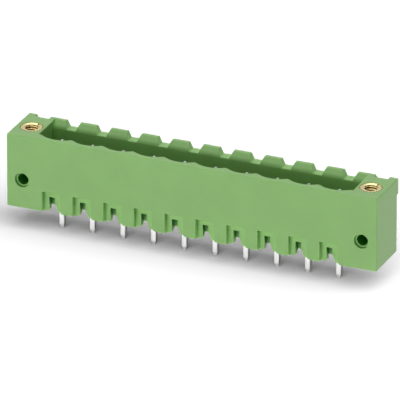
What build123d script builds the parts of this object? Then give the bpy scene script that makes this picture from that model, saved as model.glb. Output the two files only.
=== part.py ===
"""Pin header for a circuit board: a moulded trough with one row of square pins
and a threaded brass insert in a flange at each end.

Frame, in millimetres: X runs along the row, Y from the front wall to the back
wall, Z up. The origin is the middle of the pin row on the board's surface, where
the feet stand. The pins reach below it, through the board.
"""

import os

from build123d import *

# Pin row
positions = 10
pitch = 5.08
pin_width = 0.8
pin_edge = 0.07
pin_below_board = 3.9
pin_top = 10.75
pin_tip_length = 0.65
pin_tip_width = 0.34

# Housing, outside
flange_reach = 5.08
flange_end = 2.54
housing_height = 12.0
front_reach = 3.8
back_reach = 4.24
outer_round = 0.22

# Latching lip along the top of the back wall
lip_out = 0.56
lip_height = 2.7
lip_slant = 0.15

# Trough that takes the plug
trough_margin = 0.48
floor_thickness = 3.2
front_rib = 1.85
front_wall = 0.95
rib_round = 0.45
back_wall = 1.01
rim_round = 0.15

# Slope inside the back rim, with a rounded crest and foot, and the notches through it
rim_land = 0.6
rim_slope_depth = 0.85
rim_crest_round = 0.4
rim_foot_round = 0.9
notch_depth = 1.05
notch_floor_width = 1.42
notch_side_run = 0.5
flange_notch_length = 1.04

# Recess and slot in the front foot at each pin, X taken from the pin
recess_left = 1.75
recess_right = 1.2
recess_height = 3.35
recess_depth = 0.78
foot_round = 0.78
slot_width = 0.94
slot_offset = 0.39
slot_height = 2.3
slot_round = 0.32
slot_flare_height = 1.25
slot_flare_reach = 0.48
foot_thickness = 0.95

# Underside, raised between the front feet and the back wall's foot
relief_height = 0.75
relief_margin = 2.2
back_foot = 1.6

# Blind hole in the front of each flange
side_hole_height = 4.65
side_hole_radius = 0.9
side_hole_depth = 3.8
side_mouth_radius = 1.18
side_mouth_depth = 0.5

# Brass insert, flush with the top of the flange
insert_radius = 1.8
insert_length = 6.0
thread_radius = 1.025
thread_mouth = 0.4

# Worked out from the sizes above
row_length = pitch * (positions - 1)
pin_places = [pitch * index - row_length / 2 for index in range(positions)]
flange_place = row_length / 2 + flange_reach
housing_length = 2 * (flange_place + flange_end)
trough_end = row_length / 2 + pitch / 2 + trough_margin
front_face = -front_reach
front_ribs = front_face + front_rib
front_bays = front_face + front_wall
back_inside = back_reach - back_wall
lip_face = back_reach + lip_out
notch_floor = housing_height - notch_depth
foot_inside = front_face + recess_depth + foot_thickness

# How far a cut runs on past the surface that it opens, and what counts as level
past = 1.0
level = 0.01


def along_x(points, length):
    """A bar of the given outline in Y and Z, centred on the row."""
    outline = Plane.YZ * make_face(Polyline(*points, close=True))
    return extrude(outline, length / 2, both=True)


def along_y(outline, start, end):
    """A bar of an outline in X and Z, from one Y to another."""
    plane = Plane(origin=(0, end, 0), x_dir=(1, 0, 0), z_dir=(0, -1, 0))
    return extrude(plane * outline, end - start)


def outer_block():
    """The housing before anything is cut, with the lip and rounded edges."""
    lip_bottom = housing_height - lip_height
    block = along_x(
        [
            (front_face, 0),
            (front_face, housing_height),
            (lip_face, housing_height),
            (lip_face, lip_bottom + lip_slant),
            (back_reach, lip_bottom),
            (back_reach, 0),
        ],
        housing_length,
    )
    inner_corner = block.edges().filter_by(Axis.X).sort_by_distance((0, back_reach, lip_bottom))[0]
    return fillet([edge for edge in block.edges() if edge != inner_corner], outer_round)


def trough():
    """The space for the plug: its front side is one shallow arc for each pin."""
    half = pitch / 2
    bays = [
        ThreePointArc((x - half, front_ribs), (x, front_bays), (x + half, front_ribs))
        for x in pin_places
    ]
    rest = Polyline(
        (pin_places[-1] + half, front_ribs),
        (trough_end, front_ribs),
        (trough_end, back_inside),
        (-trough_end, back_inside),
        (-trough_end, front_ribs),
        (pin_places[0] - half, front_ribs),
    )
    outline = make_face(Curve() + bays + rest.edges())
    ribs = outline.vertices().group_by(Axis.Y)[0].sort_by(Axis.X)[1:-1]
    outline = fillet(ribs, rib_round)
    return Pos(0, 0, floor_thickness) * extrude(outline, housing_height - floor_thickness + past)


def rim_slope():
    """What the slope inside the back rim takes away, over the trough's length."""
    foot = housing_height - rim_slope_depth
    crest = lip_face - rim_land
    outline = make_face(
        Polyline(
            (back_inside - past, foot - past),
            (back_inside, foot - past),
            (back_inside, foot),
            (crest, housing_height),
            (crest + past, housing_height),
            (crest + past, housing_height + past),
            (back_inside - past, housing_height + past),
            close=True,
        )
    )
    outline = fillet(outline.vertices().sort_by_distance((back_inside, foot))[0], rim_foot_round)
    outline = fillet(outline.vertices().sort_by_distance((crest, housing_height))[0], rim_crest_round)
    return extrude(Plane.YZ * outline, trough_end, both=True)


def notch(x, start):
    """One notch through the back rim: a trough with sloped sides, open at the top."""
    half = notch_floor_width / 2
    grow = notch_side_run * (1 + past / notch_depth)
    outline = make_face(
        Polyline(
            (x - half, notch_floor),
            (x + half, notch_floor),
            (x + half + grow, housing_height + past),
            (x - half - grow, housing_height + past),
            close=True,
        )
    )
    return along_y(outline, start, lip_face + past)


def foot_recess(x):
    """The shallow recess in the front foot, with a rounded foot on its right."""
    left = x - recess_left
    right = x + recess_right
    corner = foot_round * (1 - 0.5**0.5)
    outline = make_face(
        Curve()
        + Polyline(
            (right + foot_round, 0),
            (right + foot_round, -past),
            (left, -past),
            (left, recess_height),
            (right, recess_height),
            (right, foot_round),
        ).edges()
        + ThreePointArc((right, foot_round), (right + corner, corner), (right + foot_round, 0))
    )
    return along_y(outline, front_face - past, front_face + recess_depth)


def foot_slot(x):
    """The slot through the foot, open below. Its left edge is rounded, and its right
    side spreads towards the board."""
    left = x - slot_offset - slot_width / 2
    right = left + slot_width
    corner = slot_round * (1 - 0.5**0.5)
    outline = make_face(
        Curve()
        + ThreePointArc((left - slot_round, 0), (left - corner, corner), (left, slot_round))
        + Polyline(
            (left, slot_round),
            (left, slot_height),
            (right, slot_height),
            (right, slot_flare_height),
            (right + slot_flare_reach, 0),
            (right + slot_flare_reach, -past),
            (left - slot_round, -past),
            (left - slot_round, 0),
        ).edges()
    )
    return along_y(outline, front_face - past, foot_inside + level)


def underside_relief():
    """The shallow space under the housing that leaves room round the soldered pins."""
    length = row_length + 2 * relief_margin
    depth = back_reach - back_foot - foot_inside
    space = Box(length, depth, relief_height + past, align=(Align.CENTER, Align.MIN, Align.MIN))
    return Pos(0, foot_inside, -past) * space


def side_hole(x):
    """The stepped blind hole in the front of a flange."""
    bore = Cylinder(side_hole_radius, side_hole_depth, align=(Align.CENTER, Align.CENTER, Align.MIN))
    mouth = Cylinder(side_mouth_radius, side_mouth_depth, align=(Align.CENTER, Align.CENTER, Align.MIN))
    return Location((x, front_face, side_hole_height), (-90, 0, 0)) * (bore + mouth)


def insert_place(x):
    """Where an insert sits: on the pin row's line, with its top flush."""
    return Pos(x, 0, housing_height - insert_length / 2)


def pin_section(width, edge):
    """A square with its corners cut off."""
    return chamfer(Rectangle(width, width).vertices(), edge)


def pin_hole(x):
    """The hole that a pin is pressed through, of the pin's own section."""
    return Pos(x, 0, -past) * extrude(pin_section(pin_width, pin_edge), floor_thickness + 2 * past)


def housing():
    """The moulded body."""
    body = outer_block() - trough()
    rim = body.edges().filter_by_position(Axis.Z, housing_height - level, housing_height + level)
    inner_rim = [edge for edge in rim if front_bays - level < edge.center().Y < front_ribs + level]
    body = fillet(inner_rim, rim_round)
    cuts = [rim_slope(), underside_relief()]
    for x in pin_places:
        cuts += [notch(x, back_inside - past), foot_recess(x), foot_slot(x), pin_hole(x)]
    for x in (-flange_place, flange_place):
        cuts += [notch(x, lip_face - flange_notch_length), side_hole(x)]
        cuts.append(insert_place(x) * Cylinder(insert_radius, insert_length))
    return body - cuts


def pin(x):
    """A square pin with cut corners and a tapered tip at each end."""
    low = -pin_below_board
    square = pin_section(pin_width, pin_edge)
    tip = pin_section(pin_tip_width, pin_edge * pin_tip_width / pin_width)
    shaft = Pos(0, 0, low + pin_tip_length) * extrude(square, pin_top - low - 2 * pin_tip_length)
    bottom = loft([Pos(0, 0, low) * tip, Pos(0, 0, low + pin_tip_length) * square])
    top = loft([Pos(0, 0, pin_top - pin_tip_length) * square, Pos(0, 0, pin_top) * tip])
    return Pos(x, 0, 0) * (shaft + bottom + top)


def insert(x):
    """A threaded insert: a plain tube here, with a sloped mouth at both ends."""
    body = Cylinder(insert_radius, insert_length) - Cylinder(thread_radius, insert_length)
    mouths = body.edges().filter_by(GeomType.CIRCLE).sort_by(SortBy.RADIUS)[:2]
    return insert_place(x) * chamfer(mouths, thread_mouth)


os.makedirs("parts", exist_ok=True)
export_step(housing(), "parts/housing.step")
for number, place in enumerate(pin_places, start=1):
    export_step(pin(place), f"parts/pin_{number:02d}.step")
export_step(insert(-flange_place), "parts/insert_left.step")
export_step(insert(flange_place), "parts/insert_right.step")
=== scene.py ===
"""The finished look of a board-mounted pin header: moulded green plastic, tinned
pins and knurled brass inserts, on a plain white stage."""

import math

import bpy
import numpy as np
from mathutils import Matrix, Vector


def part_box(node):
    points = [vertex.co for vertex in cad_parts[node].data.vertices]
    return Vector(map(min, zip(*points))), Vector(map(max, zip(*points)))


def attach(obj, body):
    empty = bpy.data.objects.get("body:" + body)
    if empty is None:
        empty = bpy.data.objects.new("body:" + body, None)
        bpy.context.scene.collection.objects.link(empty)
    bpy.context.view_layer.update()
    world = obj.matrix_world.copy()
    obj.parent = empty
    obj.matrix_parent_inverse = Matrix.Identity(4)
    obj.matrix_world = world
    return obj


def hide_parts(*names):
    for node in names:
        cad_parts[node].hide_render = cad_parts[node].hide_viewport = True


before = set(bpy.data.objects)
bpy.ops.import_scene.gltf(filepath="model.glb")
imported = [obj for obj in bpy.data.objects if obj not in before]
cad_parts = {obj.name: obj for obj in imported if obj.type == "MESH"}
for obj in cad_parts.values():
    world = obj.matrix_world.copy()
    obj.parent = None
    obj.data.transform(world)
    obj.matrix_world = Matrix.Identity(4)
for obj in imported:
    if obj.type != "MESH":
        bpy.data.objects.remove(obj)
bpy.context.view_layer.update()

bl_info = {
    "name": "Pin header",
    "version": (1, 0, 0),
    "blender": (4, 5, 0),
    "location": "3D View > Sidebar > Pin header",
    "description": "Finishes the housing, pins and inserts of a pin header, and sets its stage",
    "category": "Object",
}

MM = 0.001

# Nodes and places read from model.glb's parts. INSERT_PLACE is how far an insert is from the middle
PIN_NODES = sorted(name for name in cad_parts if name.startswith("pin_"))
INSERT_NODES = ("insert_left", "insert_right")
insert_low, insert_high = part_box("insert_right")
pin_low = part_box("pin_01")[0]
INSERT_PLACE = (insert_high.x + insert_low.x) / 2

# The nick where an insert's thread starts
START_TURN = math.radians(66)
START_RADIUS = 1.38 * MM
START_SPREAD = math.radians(9)


# Properties


def colour(name, description, default):
    """A colour that a user would change."""
    return bpy.props.FloatVectorProperty(
        name=name, description=description, subtype="COLOR", size=3, min=0, max=1, default=default
    )


def share(name, description, default):
    """A number from 0 to 1."""
    return bpy.props.FloatProperty(
        name=name, description=description, subtype="FACTOR", min=0, max=1, default=default
    )


def strength(name, description, default):
    """A strength of light, where 1 is plain white in the sky."""
    return bpy.props.FloatProperty(name=name, description=description, min=0, soft_max=5, default=default)


def distance(name, description, default):
    """A length in metres."""
    return bpy.props.FloatProperty(
        name=name,
        description=description,
        subtype="DISTANCE",
        unit="LENGTH",
        precision=6,
        min=0,
        default=default,
    )


def angle(name, description, degrees):
    """An angle, given in degrees."""
    return bpy.props.FloatProperty(
        name=name, description=description, subtype="ANGLE", default=math.radians(degrees)
    )


class HousingLook(bpy.types.PropertyGroup):
    """What a user would change on the moulded housing."""

    colour: colour("Plastic", "Colour of the moulded plastic", (0.216, 0.42, 0.124))
    roughness: share("Roughness", "How dull the moulded surface is", 0.46)
    grain: distance("Grain", "Size of the mould's fine texture", 0.11 * MM)
    edge: distance("Edge round", "Radius that edges are shaded with", 0.22 * MM)
    # Reach of the occlusion test that places the painted shade in slots and holes, the painted light in
    # shallow recesses and the painted highlight on open edges.
    recess: distance("Recess", "Width of the slots and holes that the plastic looks deeper in", 2.6 * MM)
    glow: share("Glow", "How much light passes under the surface", 0.5)
    reach: distance("Glow reach", "How far that light spreads", 0.8 * MM)


class PinLook(bpy.types.PropertyGroup):
    """What a user would change on the pins."""

    colour: colour("Tin", "Colour of the tin plating", (0.97, 0.97, 0.955))
    roughness: share("Roughness", "How dull the plating is", 0.42)
    streak: distance("Streak", "Width of the drawing marks along a pin", 0.05 * MM)
    edge: distance("Edge round", "Radius that edges are shaded with", 0.06 * MM)


class InsertLook(bpy.types.PropertyGroup):
    """What a user would change on the threaded inserts."""

    colour: colour("Brass", "Colour of the brass", (0.74, 0.64, 0.31))
    roughness: share("Roughness", "How dull the brass is", 0.22)
    teeth: bpy.props.IntProperty(
        name="Knurl teeth", description="Teeth round the outside", min=6, max=60, default=20
    )
    knurl: distance("Knurl depth", "How deep the grooves between the teeth are", 0.42 * MM)
    thread_pitch: distance("Thread pitch", "From one thread crest to the next", 0.45 * MM)
    thread_core: distance("Thread core", "Radius at the thread's crests", 1.05 * MM)
    thread_depth: distance("Thread depth", "From the crests to the roots", 0.22 * MM)
    dish: distance("Dish radius", "Outer radius of the shallow dish in the top", 1.5 * MM)
    dish_depth: distance("Dish depth", "How far the dish slopes down to the thread", 0.08 * MM)
    start: distance("Thread start", "Depth of the nick where the thread starts", 0.03 * MM)


class StageLook(bpy.types.PropertyGroup):
    """The floor, the light and the camera."""

    floor: colour("Floor", "Colour of the floor", (0.1, 0.0985, 0.1005))
    top: strength("Light from above", "Strength of the sky overhead", 1.82)
    front: strength("Light from the front", "Strength of the sky halfway up in front", 0.5)
    behind: strength("Light from behind", "Strength of the sky halfway up behind", 0.75)
    right: share("Light from the right", "How much of the lower sky's light is left on the right", 0.05)
    horizon: strength("Light from the horizon", "Strength of the sky near the floor", 1.0)
    key: strength("Light from the front horizon", "Strength of the sky near the floor in front", 3.05)
    softbox: strength("Softbox", "Strength of the small soft light high up behind", 2.5)
    floor_lamp: strength("Floor lamp", "Strength of the soft lamp that lights the floor", 62.3)
    azimuth: angle("Azimuth", "Turn of the camera round the object", 23.3)
    elevation: angle("Elevation", "Height of the camera above the horizon", 24.7)


# Shader nodes


class Term:
    """An output of a material's node. Python's operators on it add Math nodes."""

    def __init__(self, recipe, socket):
        self.recipe = recipe
        self.socket = socket

    def __add__(self, other):
        return self.recipe.math("ADD", self, other)

    def __radd__(self, other):
        return self.recipe.math("ADD", other, self)

    def __sub__(self, other):
        return self.recipe.math("SUBTRACT", self, other)

    def __rsub__(self, other):
        return self.recipe.math("SUBTRACT", other, self)

    def __mul__(self, other):
        return self.recipe.math("MULTIPLY", self, other)

    def __rmul__(self, other):
        return self.recipe.math("MULTIPLY", other, self)

    def __pow__(self, other):
        return self.recipe.math("POWER", self, other)

    def __abs__(self):
        return self.recipe.math("ABSOLUTE", self)

    def clamped(self):
        """The value held between 0 and 1."""
        return self.recipe.math("MAXIMUM", self.recipe.math("MINIMUM", self, 1), 0)

    def rise(self, low, high):
        """0 below low, 1 above high, and smooth between them."""
        return self.recipe.node(
            "ShaderNodeMapRange",
            {"interpolation_type": "SMOOTHSTEP"},
            {"Value": self, "From Min": low, "From Max": high},
        )

    def fall(self, low, high):
        """1 below low, 0 above high, and smooth between them."""
        return 1 - self.rise(low, high)


class Recipe:
    """One material or world, with one call for each of its nodes."""

    def __init__(self, owner):
        owner.use_nodes = True
        self.owner = owner
        self.tree = owner.node_tree
        self.tree.nodes.clear()

    def node(self, kind, settings=None, inputs=None, output=0):
        """Adds a node: its settings first, then the values or links of its sockets."""
        node = self.tree.nodes.new(kind)
        for name, value in (settings or {}).items():
            setattr(node, name, value)
        for name, value in (inputs or {}).items():
            self.fill(node.inputs[name], value)
        return Term(self, node.outputs[output]) if node.outputs else node

    def fill(self, socket, value):
        """Links a term to a socket, or sets the socket's own value."""
        if isinstance(value, Term):
            self.tree.links.new(value.socket, socket)
        elif socket.type == "RGBA" and len(value) == 3:
            socket.default_value = (*value, 1)
        else:
            socket.default_value = value

    def math(self, operation, *values):
        """One Math node on terms and plain numbers."""
        return self.node("ShaderNodeMath", {"operation": operation}, dict(enumerate(values)))

    def mix(self, factor, first, second):
        """A colour between two others."""
        inputs = {0: factor, 6: first, 7: second}
        return self.node("ShaderNodeMix", {"data_type": "RGBA"}, inputs, output=2)

    def dot(self, first, second):
        """How far two directions agree: 1 along one another, 0 square to one another."""
        return self.node("ShaderNodeVectorMath", {"operation": "DOT_PRODUCT"}, {0: first, 1: second}, 1)

    def place(self):
        """The point on the object, in metres."""
        return self.node("ShaderNodeTexCoord", output=3)

    def normal(self):
        """The surface's own normal."""
        return self.node("ShaderNodeNewGeometry", output=1)

    def rounded(self, radius):
        """The surface's normal, rounded at its edges."""
        return self.node("ShaderNodeBevel", {"samples": 6}, {"Radius": radius})

    def split(self, vector):
        """The three parts of a vector."""
        node = self.node("ShaderNodeSeparateXYZ", None, {"Vector": vector}).socket.node
        return [Term(self, socket) for socket in node.outputs]

    def join(self, x, y, z):
        """A vector from three values."""
        return self.node("ShaderNodeCombineXYZ", None, {"X": x, "Y": y, "Z": z})

    def noise(self, vector, size, detail=2, roughness=0.5):
        """Soft random patches of the given size in metres."""
        inputs = {"Vector": vector, "Scale": 1 / size, "Detail": detail, "Roughness": roughness}
        return self.node("ShaderNodeTexNoise", None, inputs)

    def bump(self, height, depth, normal):
        """A surface relief of the given depth in metres."""
        inputs = {"Height": height, "Strength": 1.0, "Distance": depth, "Normal": normal}
        return self.node("ShaderNodeBump", None, inputs)

    def surface(self, **sockets):
        """The finished surface, from the names of its sockets with _ for each space."""
        inputs = {name.replace("_", " "): value for name, value in sockets.items()}
        shader = self.node("ShaderNodeBsdfPrincipled", None, inputs)
        self.node("ShaderNodeOutputMaterial", None, {"Surface": shader})
        return self.owner


def shaded(colour, *levels):
    """A colour made darker or lighter, by one factor or by one for each of its parts."""
    levels = levels if len(levels) == len(colour) else levels * len(colour)
    return tuple(min(1.0, part * level) for part, level in zip(colour, levels))


# Materials


def moulded_plastic(look):
    """Glass-filled plastic from a fine-textured mould: a faint grain, cloudy patches of
    colour, glossier edges with a painted highlight where they face up, painted light in
    shallow recesses, and painted shade in slots and holes, darkest near the board."""
    recipe = Recipe(bpy.data.materials.new("moulded_plastic"))
    cloud_size, speck_size = 5 * MM, 0.5 * MM
    grain_depth = 0.006 * MM
    foot_slot_top, foot_slot_end = 2.35 * MM, 2.6 * MM
    place = recipe.place()
    base = tuple(look.colour)
    # Painted shade colour: a dark green for slots and holes.
    deep = shaded(base, 0.11, 0.52, 0.07)
    # A darker painted shade colour, for the slots in the feet.
    darkest_shade = shaded(deep, 0.3, 0.52, 0.2)

    cloud = recipe.noise(place, cloud_size, detail=3).rise(0.35, 0.68)
    speck = recipe.noise(place, speck_size, detail=4, roughness=0.7).rise(0.38, 0.66)
    normal = recipe.rounded(look.edge)
    edge = (1 - recipe.dot(normal, recipe.normal())).rise(0.0, 0.16)
    upward = recipe.split(normal)[2].rise(-0.5, 0.1)
    openness = recipe.node(
        "ShaderNodeAmbientOcclusion", {"samples": 8, "only_local": True}, {"Distance": look.recess}, 1
    )
    # Where painted light goes: places that the occlusion test finds partly hidden.
    painted_light_mask = openness.fall(0.7, 0.95)
    # Where painted shade goes: places that the occlusion test finds mostly hidden.
    hole_shade = openness.fall(0.28, 0.62)
    # Where the darkest painted shade goes: hidden places low in the feet's slots, near the board.
    near_board = recipe.split(place)[2].fall(foot_slot_top, foot_slot_end)
    foot_slot = near_board * openness.fall(0.3, 0.6)

    body = recipe.mix(cloud, shaded(base, 0.975), shaded(base, 1.03))
    body = recipe.mix(speck * 0.35, body, shaded(base, 1.05))
    # Painted highlight: convex edges that face up are made paler. Their lower roughness is the surface's
    # own gloss.
    body = recipe.mix(edge * openness.rise(0.6, 0.9) * upward * 0.8, body, shaded(base, 1.3))
    # Painted light: partly hidden places, such as shallow recesses, are made paler to make up for their
    # shade.
    body = recipe.mix(painted_light_mask * 0.8, body, shaded(base, 1.37))
    # Painted shade in slots and holes.
    body = recipe.mix(hole_shade, body, deep)
    # Darkest painted shade in the slots of the feet.
    body = recipe.mix(foot_slot * 0.8, body, darkest_shade)
    grain = recipe.noise(place, look.grain, detail=3, roughness=0.6)
    return recipe.surface(
        Base_Color=body,
        Roughness=look.roughness - 0.06 + speck * 0.07 + cloud * 0.04 - edge * 0.1,
        IOR=1.53,
        Normal=recipe.bump(grain, grain_depth, normal),
        Subsurface_Weight=look.glow,
        Subsurface_Radius=(0.7, 1.0, 0.5),
        Subsurface_Scale=look.reach,
    )


def tin_plating(look):
    """Bright tin on stamped pins: fine streaks along the pin, soft clouds in the gloss, painted
    shade on the top faces, and painted dark reflection on the duller sides where the strip was cut."""
    recipe = Recipe(bpy.data.materials.new("tin_plating"))
    cloud_size = 0.7 * MM
    streak_depth = 0.0005 * MM
    stretch = 0.03
    place = recipe.place()
    base = tuple(look.colour)

    x, y, z = recipe.split(place)
    streak = recipe.noise(recipe.join(x, y, z * stretch), look.streak, detail=3, roughness=0.6)
    cloud = recipe.noise(place, cloud_size).rise(0.35, 0.7)
    sideways, _, upward = recipe.split(recipe.normal())
    # The cut sides: duller in Roughness, and darkened below as painted dark reflection.
    cut = abs(sideways).rise(0.8, 0.95)
    top = upward.rise(0.1, 0.4)

    body = recipe.mix(streak.rise(0.3, 0.7), shaded(base, 0.93), shaded(base, 1.04))
    body = recipe.mix(cloud * 0.2, body, shaded(base, 0.93))
    # Painted shade: the pins' top faces and painted dark reflection on their sides are put into the
    # colour.
    body = recipe.mix((cut * 0.9 + top * 0.6).clamped(), body, shaded(base, 0.3))
    return recipe.surface(
        Base_Color=body,
        Roughness=look.roughness - 0.05 + cloud * 0.08 + streak * 0.05 + cut * 0.1,
        Metallic=1.0,
        Normal=recipe.bump(streak, streak_depth, recipe.rounded(look.edge)),
    )


def turned_brass(look):
    """Brass off the lathe: rings round the axis, gloss that varies in small patches, painted
    shade in the knurl's grooves and the thread's roots, a painted highlight on the crests in
    the bore and a painted shadow in the nick where the thread starts."""
    recipe = Recipe(bpy.data.materials.new("turned_brass"))
    ring_size, patch_size = 0.06 * MM, 0.5 * MM
    ring_depth = 0.001 * MM
    spot_core, spot_edge = 0.12 * MM, 0.28 * MM
    groove_depth = 0.12 * MM
    soft = 0.05 * MM
    crest_band = 0.03 * MM
    place = recipe.place()
    base = tuple(look.colour)
    # Painted shade colour: a dark brown that stands in for the shade in grooves, thread roots and the
    # nick.
    painted_shade_brown = shaded(base, 0.52, 0.3, 0.09)

    x, y, z = recipe.split(place)
    radius = ((abs(x) - INSERT_PLACE) ** 2 + y**2) ** 0.5
    rings = recipe.noise(recipe.join(radius, radius, z), ring_size, detail=3, roughness=0.6)
    patch = recipe.noise(place, patch_size, detail=3).rise(0.35, 0.7)
    depth = insert_high.z - z
    groove = depth.rise(0.0, groove_depth) * radius.rise(look.dish, look.dish + soft)
    inside = radius.fall(look.dish - 2 * soft, look.dish)
    bore = inside * depth.rise(look.dish_depth, look.dish_depth + 2 * soft)
    root = radius.rise(look.thread_core + crest_band, look.thread_core + look.thread_depth)
    east = x - recipe.math("SIGN", x) * INSERT_PLACE - START_RADIUS * math.cos(START_TURN)
    north = y - START_RADIUS * math.sin(START_TURN)
    start = ((east**2 + north**2) ** 0.5).fall(spot_core, spot_edge)

    body = recipe.mix(rings.rise(0.3, 0.7), shaded(base, 0.93), shaded(base, 1.05))
    body = recipe.mix(patch * 0.3, body, shaded(base, 0.88))
    # Painted highlight: the thread's crests in the bore are made brighter than the brass.
    body = recipe.mix(bore * (1 - root), body, shaded(base, 1.32))
    # Painted shade in the knurl's grooves and the thread's roots.
    body = recipe.mix((groove * 0.9 + bore * root * 0.75).clamped(), body, painted_shade_brown)
    # Painted shadow: a dark spot in the nick where the thread starts.
    body = recipe.mix(start * 0.9, body, shaded(painted_shade_brown, 0.4))
    return recipe.surface(
        Base_Color=body,
        Roughness=look.roughness - 0.04 + patch * 0.1,
        Metallic=1.0,
        Normal=recipe.bump(rings, ring_depth, recipe.normal()),
    )


def pale_floor(look):
    """A matt floor that its own lamp makes white wherever the object casts no shadow."""
    recipe = Recipe(bpy.data.materials.new("pale_floor"))
    cloud_size = 50 * MM
    cloud = recipe.noise(recipe.place(), cloud_size)
    body = recipe.mix(cloud, shaded(look.floor, 0.99), shaded(look.floor, 1.01))
    return recipe.surface(Base_Color=body, Roughness=1.0, Specular_IOR_Level=0.0)


def studio_sky(world, look):
    """Plain white light: a wall that is brighter behind than in front, an almost dark
    right side, a white horizon that is brightest in front, a ceiling that dims towards
    the front and the right, and a small softbox high up behind."""
    recipe = Recipe(world)
    softbox_way = (-0.31, 0.56, 0.77)
    front_loss, right_loss = 0.6, 0.65
    way = recipe.node("ShaderNodeTexCoord")

    x, y, z = recipe.split(way)
    ahead = 0 - y
    wall = look.front + y.rise(0.2, 0.6) * (look.behind - look.front)
    horizon = look.horizon + ahead.rise(0.5, 0.9) * (look.key - look.horizon)
    level = wall + z.fall(0.15, 0.3) * (horizon - wall)
    level = level * (1 - x.rise(0.4, 0.8) * (1 - look.right))
    ceiling = look.top * (1 - ahead.rise(-0.1, 0.5) * front_loss) * (1 - x.rise(0.1, 0.6) * right_loss)
    level = level + z.rise(0.55, 0.85) * (ceiling - level)
    level = level + recipe.dot(way, softbox_way).rise(0.97, 0.99) * (look.softbox - level)
    glow = recipe.node("ShaderNodeBackground", None, {"Color": (1, 1, 1), "Strength": level})
    recipe.node("ShaderNodeOutputWorld", None, {"Surface": glow})


# Surfaces


def ring_mesh(name, grid):
    """A closed mesh from points (rows, columns, 3) that run round both ways, with
    each row following the one before and each column the one beside it."""
    rows, columns = grid.shape[:2]
    sharp_from = math.radians(40)
    corner = np.arange(rows * columns).reshape(rows, columns)
    beside = np.roll(corner, -1, axis=1)
    quads = np.stack([corner, beside, np.roll(beside, -1, axis=0), np.roll(corner, -1, axis=0)], axis=-1)
    mesh = bpy.data.meshes.new(name)
    mesh.from_pydata(grid.reshape(-1, 3), [], quads.reshape(-1, 4))
    mesh.shade_smooth()
    mesh.set_sharp_from_angle(angle=sharp_from)
    return mesh


def insert_surface(look, centre, low, high, radius):
    """The insert as radius and height over a grid of angle and profile.

    Outside, the radius is the full one less the knurl's depth times a wave with one
    dip for each tooth's gap, and never less than just outside the dish. Over the top
    it shrinks in a few steps to the dish, then follows the dish's slope to the core,
    with a nick that is a bell curve of the angle. In the bore it is the core radius
    plus the thread's depth times a triangle wave of height over pitch less the turn's
    share, with its crests and roots cut flat, which fades in below the dish. Beneath,
    it grows from the bevelled end of the bore back to the toothed outline.
    """
    columns, bore_rows = 240, 132
    soft = 0.04 * MM  # round on the outer edges
    mouth = 0.05 * MM  # from the thread's core out to the end of the dish
    lead_in = 0.12 * MM  # height over which the thread reaches its full depth
    foot_bevel = 0.1 * MM
    wave_gain, wave_cut = 1.3, 0.12
    across_steps = np.array([0.0, 0.06, 0.35, 0.7, 0.97, 1.0])
    nick_steps = np.array([0.0, 0.8, 1.0, 1.0, 0.6])

    turn = np.linspace(0, 2 * math.pi, columns, endpoint=False)
    gap = (0.5 + 0.5 * np.cos(look.teeth * turn)) ** 2
    outline = np.maximum(radius - look.knurl * gap, look.dish + 2 * soft)
    outside_heights = np.array([low + soft, low + 2 * soft, high - 2 * soft, high - soft])
    outside = np.broadcast_to(outline, (len(outside_heights), columns))

    def across(steps, inner):
        """The ring face, from the toothed outline to an inner circle."""
        return outline - soft + (inner - outline + soft) * steps[:, None]

    top = across(across_steps, look.dish)
    under = across(across_steps[::-1], look.thread_core + foot_bevel)

    dish_end = high - look.dish_depth
    slope = np.linspace(0, 1, len(nick_steps) + 1)[1:]
    dish_radii = look.dish + (look.thread_core + mouth - look.dish) * slope
    dish_heights = high + (dish_end - high) * slope
    nick = np.exp(-(((turn - START_TURN) / START_SPREAD) ** 2))

    bore_heights = np.linspace(dish_end - soft / 2, low + foot_bevel, bore_rows)
    phase = bore_heights[:, None] / look.thread_pitch - turn / (2 * math.pi)
    wave = np.clip(wave_gain * np.abs(2 * (phase % 1) - 1) - wave_cut, 0, 1)
    fade = np.clip((dish_end - bore_heights) / lead_in, 0, 1)[:, None]
    bore = look.thread_core + look.thread_depth * wave * fade

    radii = np.vstack([outside, top, np.repeat(dish_radii[:, None], columns, axis=1), bore, under])
    level_top, level_under = np.full(len(top), high), np.full(len(under), low)
    profile = np.concatenate([outside_heights, level_top, dish_heights, bore_heights, level_under])
    height = np.repeat(profile[:, None], columns, axis=1)
    first = len(outside) + len(top)
    height[first : first + len(slope)] -= look.start * nick_steps[:, None] * nick
    return np.stack([centre + radii * np.cos(turn), radii * np.sin(turn), height], axis=-1)


# Operators


class FinishHousing(bpy.types.Operator):
    """Gives the moulded housing its green plastic"""

    bl_idname = "pin_header.finish_housing"
    bl_label = "Finish housing"

    def execute(self, context):
        dress("housing", moulded_plastic(context.scene.header_housing))
        return {"FINISHED"}


class FinishPins(bpy.types.Operator):
    """Gives every pin its bright tin plating"""

    bl_idname = "pin_header.finish_pins"
    bl_label = "Finish pins"

    def execute(self, context):
        tin = tin_plating(context.scene.header_pins)
        for name in PIN_NODES:
            dress(name, tin)
        return {"FINISHED"}


class MakeInserts(bpy.types.Operator):
    """Makes both brass inserts, with their thread and knurl"""

    bl_idname = "pin_header.make_inserts"
    bl_label = "Make inserts"

    def execute(self, context):
        look = context.scene.header_inserts
        brass = turned_brass(look)
        for name in INSERT_NODES:
            low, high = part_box(name)
            centre = (low.x + high.x) / 2
            grid = insert_surface(look, centre, low.z, high.z, (high.x - low.x) / 2)
            piece = bpy.data.objects.new("brass_" + name, ring_mesh("brass_" + name, grid))
            context.scene.collection.objects.link(piece)
            piece.data.materials.append(brass)
            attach(piece, "root")
            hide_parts(name)
        return {"FINISHED"}


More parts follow.
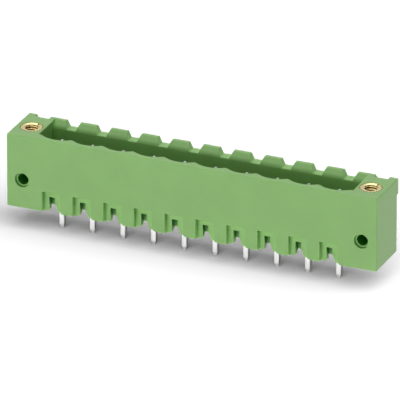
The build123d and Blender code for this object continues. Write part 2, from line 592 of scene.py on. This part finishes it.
class SetStage(bpy.types.Operator):
    """Lays the floor and places the light and the camera"""

    bl_idname = "pin_header.set_stage"
    bl_label = "Set stage"

    def execute(self, context):
        look = context.scene.header_stage
        scene = context.scene
        floor = lay_floor(scene, look)
        light_floor(scene, look, floor)
        scene.world = bpy.data.worlds.new("studio_sky")
        studio_sky(scene.world, look)
        place_camera(scene, look)
        scene.view_settings.view_transform = "Standard"
        return {"FINISHED"}


def dress(name, material):
    """Puts a material into a CAD node's slots, and leaves its mesh alone."""
    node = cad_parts[name]
    if not node.material_slots:
        node.data.materials.append(material)
    for slot in node.material_slots:
        slot.material = material


def lay_floor(scene, look):
    """A large flat floor at the pins' tips."""
    reach = 3.0
    corners = [(x * reach, y * reach, pin_low.z) for x, y in ((-1, -1), (1, -1), (1, 1), (-1, 1))]
    mesh = bpy.data.meshes.new("floor")
    mesh.from_pydata(corners, [], [(0, 1, 2, 3)])
    mesh.materials.append(pale_floor(look))
    floor = bpy.data.objects.new("floor", mesh)
    scene.collection.objects.link(floor)
    return floor


def light_floor(scene, look, floor):
    """A very soft lamp at the front right that lights the floor alone, so that the
    floor is white and the object's shadow lies under and behind it."""
    towards = Vector((0.7, -0.58, 0.42))
    softness = math.radians(127)
    lamp = bpy.data.lights.new("floor_lamp", "SUN")
    lamp.energy = look.floor_lamp
    lamp.angle = softness
    holder = bpy.data.objects.new("floor_lamp", lamp)
    scene.collection.objects.link(holder)
    holder.rotation_euler = towards.to_track_quat("Z", "Y").to_euler()
    lit = bpy.data.collections.new("lit_by_floor_lamp")
    lit.objects.link(floor)
    holder.light_linking.receiver_collection = lit


def place_camera(scene, look):
    """A long lens from the photograph's angle, aimed so that the object's middle
    falls where it does in the 400 pixel frame."""
    frame_pixels = 400
    pixels_per_metre = 6600
    middle = Vector((0, 0.5, 6.0)) * MM
    middle_u, middle_v = 201.7, 191.7
    camera = bpy.data.cameras.new("camera")
    camera.lens = 1000
    camera.sensor_width = 36
    away = frame_pixels * camera.lens / camera.sensor_width / pixels_per_metre
    turn, lift = look.azimuth, look.elevation
    back = Vector((math.sin(turn) * math.cos(lift), -math.cos(turn) * math.cos(lift), math.sin(lift)))
    right = Vector((math.cos(turn), math.sin(turn), 0))
    up = back.cross(right)
    half = frame_pixels / 2
    aim = middle - right * (middle_u - half) / pixels_per_metre + up * (middle_v - half) / pixels_per_metre
    holder = bpy.data.objects.new("camera", camera)
    scene.collection.objects.link(holder)
    holder.location = aim + back * away
    holder.rotation_euler = back.to_track_quat("Z", "Y").to_euler()
    scene.camera = holder


class HeaderPanel(bpy.types.Panel):
    """The sizes, colours and steps of the pin header"""

    bl_idname = "VIEW3D_PT_pin_header"
    bl_label = "Pin header"
    bl_space_type = "VIEW_3D"
    bl_region_type = "UI"
    bl_category = "Pin header"

    def draw(self, context):
        for label, name, group, operator in SECTIONS:
            box = self.layout.box()
            box.label(text=label)
            for setting in group.__annotations__:
                box.prop(getattr(context.scene, name), setting)
            box.operator(operator.bl_idname)


# Each section of the panel: its label, the scene's property, its type and its operator
SECTIONS = (
    ("Housing", "header_housing", HousingLook, FinishHousing),
    ("Pins", "header_pins", PinLook, FinishPins),
    ("Inserts", "header_inserts", InsertLook, MakeInserts),
    ("Stage", "header_stage", StageLook, SetStage),
)


def register():
    for _, name, group, operator in SECTIONS:
        bpy.utils.register_class(group)
        bpy.utils.register_class(operator)
        setattr(bpy.types.Scene, name, bpy.props.PointerProperty(type=group))
    bpy.utils.register_class(HeaderPanel)


def unregister():
    bpy.utils.unregister_class(HeaderPanel)
    for _, name, group, operator in reversed(SECTIONS):
        delattr(bpy.types.Scene, name)
        bpy.utils.unregister_class(operator)
        bpy.utils.unregister_class(group)


def main():
    """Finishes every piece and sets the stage."""
    register()
    bpy.ops.pin_header.finish_housing()
    bpy.ops.pin_header.finish_pins()
    bpy.ops.pin_header.make_inserts()
    bpy.ops.pin_header.set_stage()


if __name__ == "__main__":
    main()
